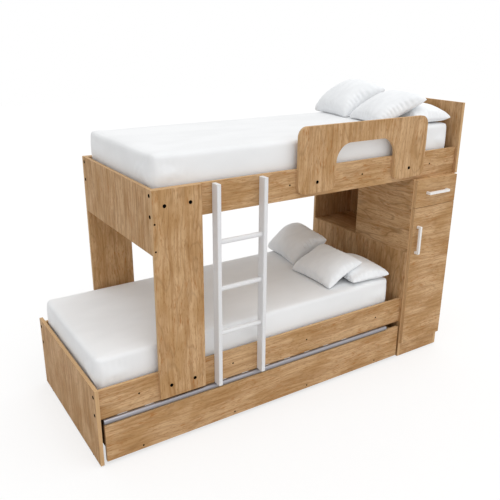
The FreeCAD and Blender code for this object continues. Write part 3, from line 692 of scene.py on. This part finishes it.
@dataclass
class Pillow:
    """Loose pillow in a plain case: full in the middle, thin at its seam, pointed corners."""

    node: str
    middle: tuple[float, float]
    length: float
    turn: float
    tilt: float
    crown: float
    belly: float
    phase: float
    press: float = 0.0
    width: float = 0.385
    waist: float = 0.060
    lip: float = 0.0020
    cells: tuple[int, int] = (60, 70)
    dent_depth: float = 0.006
    dent_pace: tuple[float, float, float] = (3.1, 2.7, 6.3)
    dent_shift: tuple[float, float] = (1.7, 2.3)
    cross_dent: float = 0.5
    gather_depth: float = 0.0027
    gather_spacing: float = 0.030
    gather_reach: float = 0.20
    end_waver: tuple[float, float] = (2.1, 23.0)
    side_waver: tuple[float, float] = (2.4, 19.0)
    under_fold: float = 0.5
    corner_trim: float = 0.055
    corner_power: int = 6
    trim: float = 0.004
    seam_band: float = 0.08
    seam_hold: float = 0.5
    stuffing: Stuffing = Stuffing(4.5, 0.05, 0.009, 18)

    def outline(self, u: np.ndarray, v: np.ndarray) -> tuple[np.ndarray, np.ndarray]:
        """Plan of the pillow: a rectangle whose sides draw in by a parabola between corners.

        The corners themselves are rounded by a factor that falls with (u v)^6.

        Args:
            u: Share along the length, from -1 to 1.
            v: Share across the width, from -1 to 1.

        Returns:
            x and y of each point.
        """
        corner = 1 - self.corner_trim * (u * v) ** self.corner_power
        x = u * (self.length / 2 - self.trim) * (1 - self.waist * (1 - v ** 2) * u ** 2) * corner
        y = v * (self.width / 2 - self.trim) * (1 - self.waist * (1 - u ** 2) * v ** 2) * corner
        return x, y

    def gathers(self, u: np.ndarray, v: np.ndarray, x: np.ndarray, y: np.ndarray) -> np.ndarray:
        """Small folds that the seam draws into the case.

        Cosines of the distance along each side, uneven by a slower sine, under a bell curve
        that dies out from the seam inwards.

        Args:
            u: Share along the length, from -1 to 1.
            v: Share across the width, from -1 to 1.
            x: Place along the length, in metres.
            y: Place across the width, in metres.

        Returns:
            Height of the folds at each point, in metres.
        """
        turn = 2 * np.pi / self.gather_spacing
        folds = np.zeros_like(u)
        for share, place, (waver, pace), phase in ((u, y, self.end_waver, self.phase),
                                                   (v, x, self.side_waver, -self.phase)):
            wave = np.cos(turn * place + waver * np.sin(pace * place + phase))
            folds += wave * np.exp(-((1 - np.abs(share)) / self.gather_reach) ** 2)
        return self.gather_depth * folds

    def surface(self) -> tuple[np.ndarray, np.ndarray, np.ndarray]:
        """Work out the case as two sheets that share their seam.

        The height is ((1 - u^2)(1 - v^2))^0.5, so that it falls steeply at the seam, times a
        few slow dents of sine products that differ from pillow to pillow.

        Returns:
            Points, quads, and how near each point lies to the seam, from 0 to 1.
        """
        rows, columns = self.cells[0] + 1, self.cells[1] + 1
        u, v = np.meshgrid(np.linspace(-1, 1, rows), np.linspace(-1, 1, columns), indexing="ij")
        x, y = self.outline(u, v)
        rise = np.sqrt(np.clip((1 - u ** 2) * (1 - v ** 2), 0, 1))
        (along, across, diagonal), (turn, twist) = self.dent_pace, self.dent_shift
        dents = np.sin(along * u + self.phase) * np.sin(across * v - turn * self.phase)
        dents += self.cross_dent * np.sin(diagonal * u * v + twist * self.phase)
        folds = self.gathers(u, v, x, y) * np.sqrt(rise)
        crown = self.crown - self.trim + self.dent_depth * dents
        belly = self.belly - self.trim / 2
        top = np.stack((x, y, self.lip / 2 + rise * crown + folds), -1)
        low = np.stack((x, y, -self.lip / 2 - rise * belly + self.under_fold * folds * rise), -1)
        seam = (np.abs(u) == 1) | (np.abs(v) == 1)
        top[seam, 2] = 0
        top_ids = np.arange(rows * columns).reshape(rows, columns)
        low_ids = top_ids.copy()
        low_ids[~seam] = rows * columns + np.arange((~seam).sum())
        quads = np.concatenate((grid_quads(top_ids), grid_quads(low_ids)[:, ::-1]))
        points = np.concatenate((top.reshape(-1, 3), low[~seam]))
        inwards = np.minimum(1 - np.abs(u), 1 - np.abs(v))
        near = 1 - np.clip(inwards / self.seam_band, 0, 1)
        return points, quads, np.concatenate((near.ravel(), near[~seam]))

    def build(self, material: bpy.types.Material) -> bpy.types.Object:
        """Make the pillow in place of its plain solid, pressed flat where it rests.

        Args:
            material: Finish of the case.

        Returns:
            The piece.
        """
        points, quads, near = self.surface()
        piece = new_piece(self.node + "_case", points, quads, material)
        self.stuffing.fill_out(piece, near * self.seam_hold)
        turned = Matrix.Rotation(math.radians(self.turn), 4, "Z")
        tilted = Matrix.Rotation(math.radians(-self.tilt), 4, "Y")
        piece.data.transform(turned @ tilted)
        points = points_of(piece.data)
        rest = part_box(self.node)[0].z
        points += (*self.middle, rest - points[:, 2].min() - self.press)
        points[:, 2] = np.maximum(points[:, 2], rest)
        piece.data.vertices.foreach_set("co", points.ravel())
        piece.data.update()
        smooth_once(piece)
        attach(piece, "frame")
        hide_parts(self.node)
        return piece


@dataclass
class Bedding:
    """Two mattresses and six pillows.

    A mattress has its lowest and highest corner and a phase. A pillow has its middle in
    plan, its length, its turn and tilt in degrees, its heights over and under the seam, its
    phase, and for a leaning one how far it sinks in where it rests.
    """

    mattresses: list[Mattress] = field(default_factory=lambda: [
        Mattress("lower_mattress", (-1.1245, -0.37625, 0.3553), (0.7155, 0.42375, 0.5403), 0.4),
        Mattress("upper_mattress", (-0.8035, -0.37625, 1.2533), (1.0965, 0.42375, 1.4383), 2.1),
    ])
    pillows: list[Pillow] = field(default_factory=lambda: [
        Pillow("lower_pillow_rear", (0.4835, 0.25775), 0.292, -8, 29.5, 0.099, 0.070, 0.3, 0.022),
        Pillow("lower_pillow_front", (0.4125, -0.13625), 0.292, 0, 24.5, 0.076, 0.018, 1.7),
        Pillow("lower_pillow_head", (0.5795, -0.18825), 0.292, -4, 0, 0.064, 0.018, 3.0),
        Pillow("upper_pillow_rear", (0.8625, 0.25175), 0.348, -8, 28, 0.102, 0.070, 4.4, 0.021),
        Pillow("upper_pillow_front", (0.8085, -0.14225), 0.345, -13, 24.5, 0.076, 0.018, 5.2),
        Pillow("upper_pillow_head", (0.9725, -0.18625), 0.292, -3, 0, 0.078, 0.018, 0.9),
    ])

    def build(self) -> None:
        """Make every soft piece."""
        sheet, case = SHEET.material(), CASE.material()
        for mattress in self.mattresses:
            log.info("made %s", mattress.build(sheet).name)
        for pillow in self.pillows:
            log.info("made %s", pillow.build(case).name)


# ---------------------------------------------------------------- boards and metalwork


def dress(material: bpy.types.Material, *nodes: str) -> None:
    """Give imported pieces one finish.

    Args:
        material: The finish.
        nodes: Names of the pieces.
    """
    for node in nodes:
        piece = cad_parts[node]
        if not piece.material_slots:
            piece.data.materials.append(material)
        for holder in piece.material_slots:
            holder.material = material
        log.info("dressed %s in %s", node, material.name)


@dataclass(frozen=True)
class Board:
    """One melamine board: its grain's way, its face's way, its slice of print and its figure."""

    node: str
    grain: Axis
    face: Axis
    cut: float
    figure: float = 0.16

    def build(self) -> None:
        """Dress the board."""
        finish = OakMelamine(self.grain, self.face, self.cut, self.figure)
        dress(finish.material(self.node), self.node)


@dataclass
class LowerBed:
    """Foot panel, rails and head panel of the lower bed."""

    boards: tuple[Board, ...] = (
        Board("foot_panel", Axis.Z, Axis.X, 1.0),
        Board("lower_front_rail", Axis.X, Axis.Y, 2.2),
        Board("lower_rear_rail", Axis.X, Axis.Y, 3.1),
        Board("lower_head_panel", Axis.Z, Axis.X, 4.3, 0.28),
    )

    def build(self) -> None:
        """Dress the boards."""
        for board in self.boards:
            board.build()


@dataclass
class UpperBed:
    """Legs, end panel, rails, headboard and guard of the upper bed."""

    boards: tuple[Board, ...] = (
        Board("front_leg", Axis.Z, Axis.Y, 5.4, 0.22),
        Board("rear_leg", Axis.Z, Axis.Y, 6.2, 0.22),
        Board("upper_end_panel", Axis.Z, Axis.X, 7.7, 0.20),
        Board("upper_front_rail", Axis.X, Axis.Y, 8.5),
        Board("upper_rear_rail", Axis.X, Axis.Y, 9.1),
        Board("headboard", Axis.Z, Axis.X, 10.6),
        Board("guard_panel", Axis.Z, Axis.Y, 11.3, 0.22),
    )

    def build(self) -> None:
        """Dress the boards."""
        for board in self.boards:
            board.build()


@dataclass
class SlattedBases:
    """Pine ledgers and slats of both beds and of the trundle."""

    ledgers: tuple[str, ...] = ("slat_ledgers", "trundle_ledgers")
    slats: tuple[str, ...] = ("bed_slats", "trundle_slats")

    def build(self) -> None:
        """Dress the ledgers along the bed and the slats across it."""
        dress(PINE.material(), *self.ledgers)
        dress(PINE_SLATS.material(), *self.slats)


@dataclass
class Ladder:
    """Coated steel ladder with moulded plugs."""

    coated: tuple[str, ...] = ("ladder_left_stile", "ladder_right_stile", "ladder_rungs")
    plugs: str = "ladder_end_caps"

    def build(self) -> None:
        """Dress the tubes and the plugs."""
        dress(POWDER_COAT.material(), *self.coated)
        dress(WHITE_PLUG.material(), self.plugs)


@dataclass
class StorageTower:
    """Tower with its niche, door and drawer."""

    boards: tuple[Board, ...] = (
        Board("tower_upper_side", Axis.Y, Axis.X, 12.8, 0.37),
        Board("tower_right_side", Axis.Z, Axis.X, 13.5),
        Board("tower_back", Axis.Z, Axis.Y, 14.2),
        Board("tower_top", Axis.Y, Axis.Z, 15.6),
        Board("tower_bottom", Axis.Y, Axis.Z, 16.3),
        Board("tower_plinth", Axis.X, Axis.Y, 17.9),
        Board("niche_floor", Axis.Y, Axis.Z, 18.4),
        Board("niche_divider", Axis.X, Axis.Y, 19.7),
        Board("drawer_shelf", Axis.Y, Axis.Z, 20.1),
        Board("door", Axis.X, Axis.Y, 21.5),
        Board("drawer_front", Axis.X, Axis.Y, 22.4),
        Board("drawer_sides", Axis.Y, Axis.X, 23.8),
        Board("drawer_back", Axis.X, Axis.Y, 24.2),
    )
    handles: tuple[str, ...] = ("door_handle", "drawer_handle")
    plated: tuple[str, ...] = (
        "drawer_cabinet_runners", "drawer_rails", "door_hinge_arms", "door_hinge_cups")
    drawer_bottom: str = "drawer_bottom"

    def build(self) -> None:
        """Dress the boards, the handles, the plated fittings and the drawer's bottom."""
        for board in self.boards:
            board.build()
        dress(HANDLE_LACQUER.material(), *self.handles)
        dress(ZINC_PLATE.material(), *self.plated)
        dress(HARDBOARD.material(), self.drawer_bottom)


@dataclass
class Trundle:
    """Pull-out bed with its aluminium grip and castors."""

    boards: tuple[Board, ...] = (
        Board("trundle_front", Axis.X, Axis.Y, 25.9),
        Board("trundle_sides", Axis.Y, Axis.X, 26.3),
        Board("trundle_back", Axis.X, Axis.Y, 27.1),
    )
    profile: str = "trundle_handle_profile"
    forks: str = "castor_forks"

    def build(self) -> None:
        """Dress the boards, the grip, the forks and the wheels."""
        for board in self.boards:
            board.build()
        dress(ANODISED.material(), self.profile)
        dress(CASTOR_PLATE.material(), self.forks)
        dress(WHEEL_RUBBER.material(), *("castor_wheel_" + wheel.value for wheel in Wheel))


@dataclass
class Fixings:
    """Bolts, screws and glides."""

    bolts: str = "connector_bolts"
    screws: tuple[str, ...] = ("frame_screws", "trundle_screws")
    glides: str = "floor_glides"

    def build(self) -> None:
        """Dress the fixings."""
        dress(BOLT_CAP.material(), self.bolts)
        dress(SCREW_HEAD.material(), *self.screws)
        dress(BLACK_MOULDED.material(), self.glides)


# ---------------------------------------------------------------- studio


@dataclass
class Studio:
    """White floor, soft light and the camera.

    Each lamp has a name, a strength, the angle it spans in degrees and the way it lies.
    """

    eye: tuple[float, float, float] = (-1.87491, -2.79265, 1.95670)
    forward: tuple[float, float, float] = (0.514568, 0.787191, -0.339927)
    right: tuple[float, float, float] = (0.838437, -0.544951, 0.007213)
    lens: float = 44.486
    sensor: float = 36.0
    clip: tuple[float, float] = (0.05, 100.0)
    floor_half: float = 14.0
    floor_points: int = 9
    floor_colour: str = "#E2E2E2"
    floor_seen: str = "#FFFFFF"
    floor_glow: float = 0.66
    floor_cloud: Pattern = Pattern((0.8, 0.8, 0.8), 2.0)
    floor_cloud_share: float = 0.1
    floor_roughness: float = 0.9
    room_strength: float = 0.77
    room_left: float = 0.62
    room_right: float = 1.42
    lamps: tuple[tuple[str, float, float, tuple[float, float, float]], ...] = (
        ("broad_lamp", 0.94, 60.0, (-0.08, -0.33, 0.94)),
        ("fill_lamp", 0.10, 80.0, (0.30, -0.92, 0.25)),
    )

    def camera(self) -> None:
        """Set the camera from its eye point and its forward and right directions."""
        forward, right = Vector(self.forward).normalized(), Vector(self.right).normalized()
        up = right.cross(forward)
        turn = Matrix((right, up, -forward)).transposed().to_4x4()
        data = bpy.data.cameras.new("camera")
        data.lens, data.sensor_width = self.lens, self.sensor
        data.clip_start, data.clip_end = self.clip
        eye = bpy.data.objects.new("camera", data)
        eye.matrix_world = Matrix.Translation(self.eye) @ turn
        bpy.context.scene.collection.objects.link(eye)
        bpy.context.scene.camera = eye

    def floor(self) -> None:
        """Lay a flat pale floor, a plane of two parameters x and y at height 0.

        The camera sees it nearly white, with a glow of its own, and the bed is lit by its
        darker paint.
        """
        steps = np.linspace(-self.floor_half, self.floor_half, self.floor_points)
        x, y = np.meshgrid(steps, steps, indexing="ij")
        points = np.stack((x, y, np.zeros_like(x)), -1).reshape(-1, 3)
        material, tree = new_material("matt_white_floor_paint")
        place = add_node(tree, "ShaderNodeTexCoord").outputs["Object"]
        seen = add_node(tree, "ShaderNodeLightPath").outputs["Is Camera Ray"]
        white = linear(self.floor_seen)
        shader = add_node(tree, "ShaderNodeBsdfPrincipled", {
            "Base Color": layered(tree, linear(self.floor_colour), (
                (self.floor_cloud.noise(tree, place), self.floor_cloud_share, white),
                (seen, 1.0, white))),
            "Roughness": self.floor_roughness, "Specular IOR Level": 0.0})
        glow = add_node(tree, "ShaderNodeMath", (seen, self.floor_glow), operation="MULTIPLY")
        mixed = add_node(tree, "ShaderNodeMixShader", (
            glow, shader, add_node(tree, "ShaderNodeEmission")))
        add_node(tree, "ShaderNodeOutputMaterial", (mixed,))
        quads = grid_quads(np.arange(x.size).reshape(x.shape))
        new_piece("floor", points, quads, material)

    def light(self) -> None:
        """Light the room from all round and from two broad lamps.

        The room is dimmer on the left than on the right, and plain white to the camera and
        in mirrors and glass.
        """
        world = bpy.data.worlds.new("studio")
        bpy.context.scene.world = world
        world.use_nodes = True
        tree = world.node_tree
        tree.nodes.clear()
        path = add_node(tree, "ShaderNodeLightPath")
        mirrored = add_node(tree, "ShaderNodeMath", (
            path.outputs["Is Camera Ray"], path.outputs["Is Glossy Ray"]), operation="MAXIMUM")
        seen = add_node(tree, "ShaderNodeMath", (
            mirrored, path.outputs["Is Transmission Ray"]), operation="MAXIMUM")
        way = add_node(tree, "ShaderNodeTexCoord").outputs["Generated"]
        room = add_node(tree, "ShaderNodeMapRange", (
            add_node(tree, "ShaderNodeSeparateXYZ", (way,)), -1.0, 1.0,
            self.room_strength * self.room_left, self.room_strength * self.room_right))
        strength = add_node(tree, "ShaderNodeMapRange", (seen, 0.0, 1.0, room, 1.0))
        background = add_node(tree, "ShaderNodeBackground", {
            "Color": (1.0, 1.0, 1.0, 1.0), "Strength": strength})
        add_node(tree, "ShaderNodeOutputWorld", (background,))
        for name, power, angle, place in self.lamps:
            lamp = bpy.data.lights.new(name, "SUN")
            lamp.energy, lamp.angle = power, math.radians(angle)
            holder = bpy.data.objects.new(name, lamp)
            holder.rotation_mode = "QUATERNION"
            holder.rotation_quaternion = Vector(place).to_track_quat("Z", "Y")
            bpy.context.scene.collection.objects.link(holder)

    def build(self) -> None:
        """Set the camera, the floor and the light."""
        self.camera()
        self.floor()
        self.light()
        bpy.context.scene.view_settings.view_transform = "Standard"


def main() -> None:
    """Build the studio, the bed's sub-assemblies and the bedding, in that order."""
    logging.basicConfig(level=logging.INFO, format="%(name)s: %(message)s")
    for part in (Studio(), LowerBed(), UpperBed(), SlattedBases(), Ladder(), StorageTower(),
                 Trundle(), Fixings(), Bedding()):
        part.build()
        log.info("finished %s", type(part).__name__)


if __name__ == "__main__":
    main()
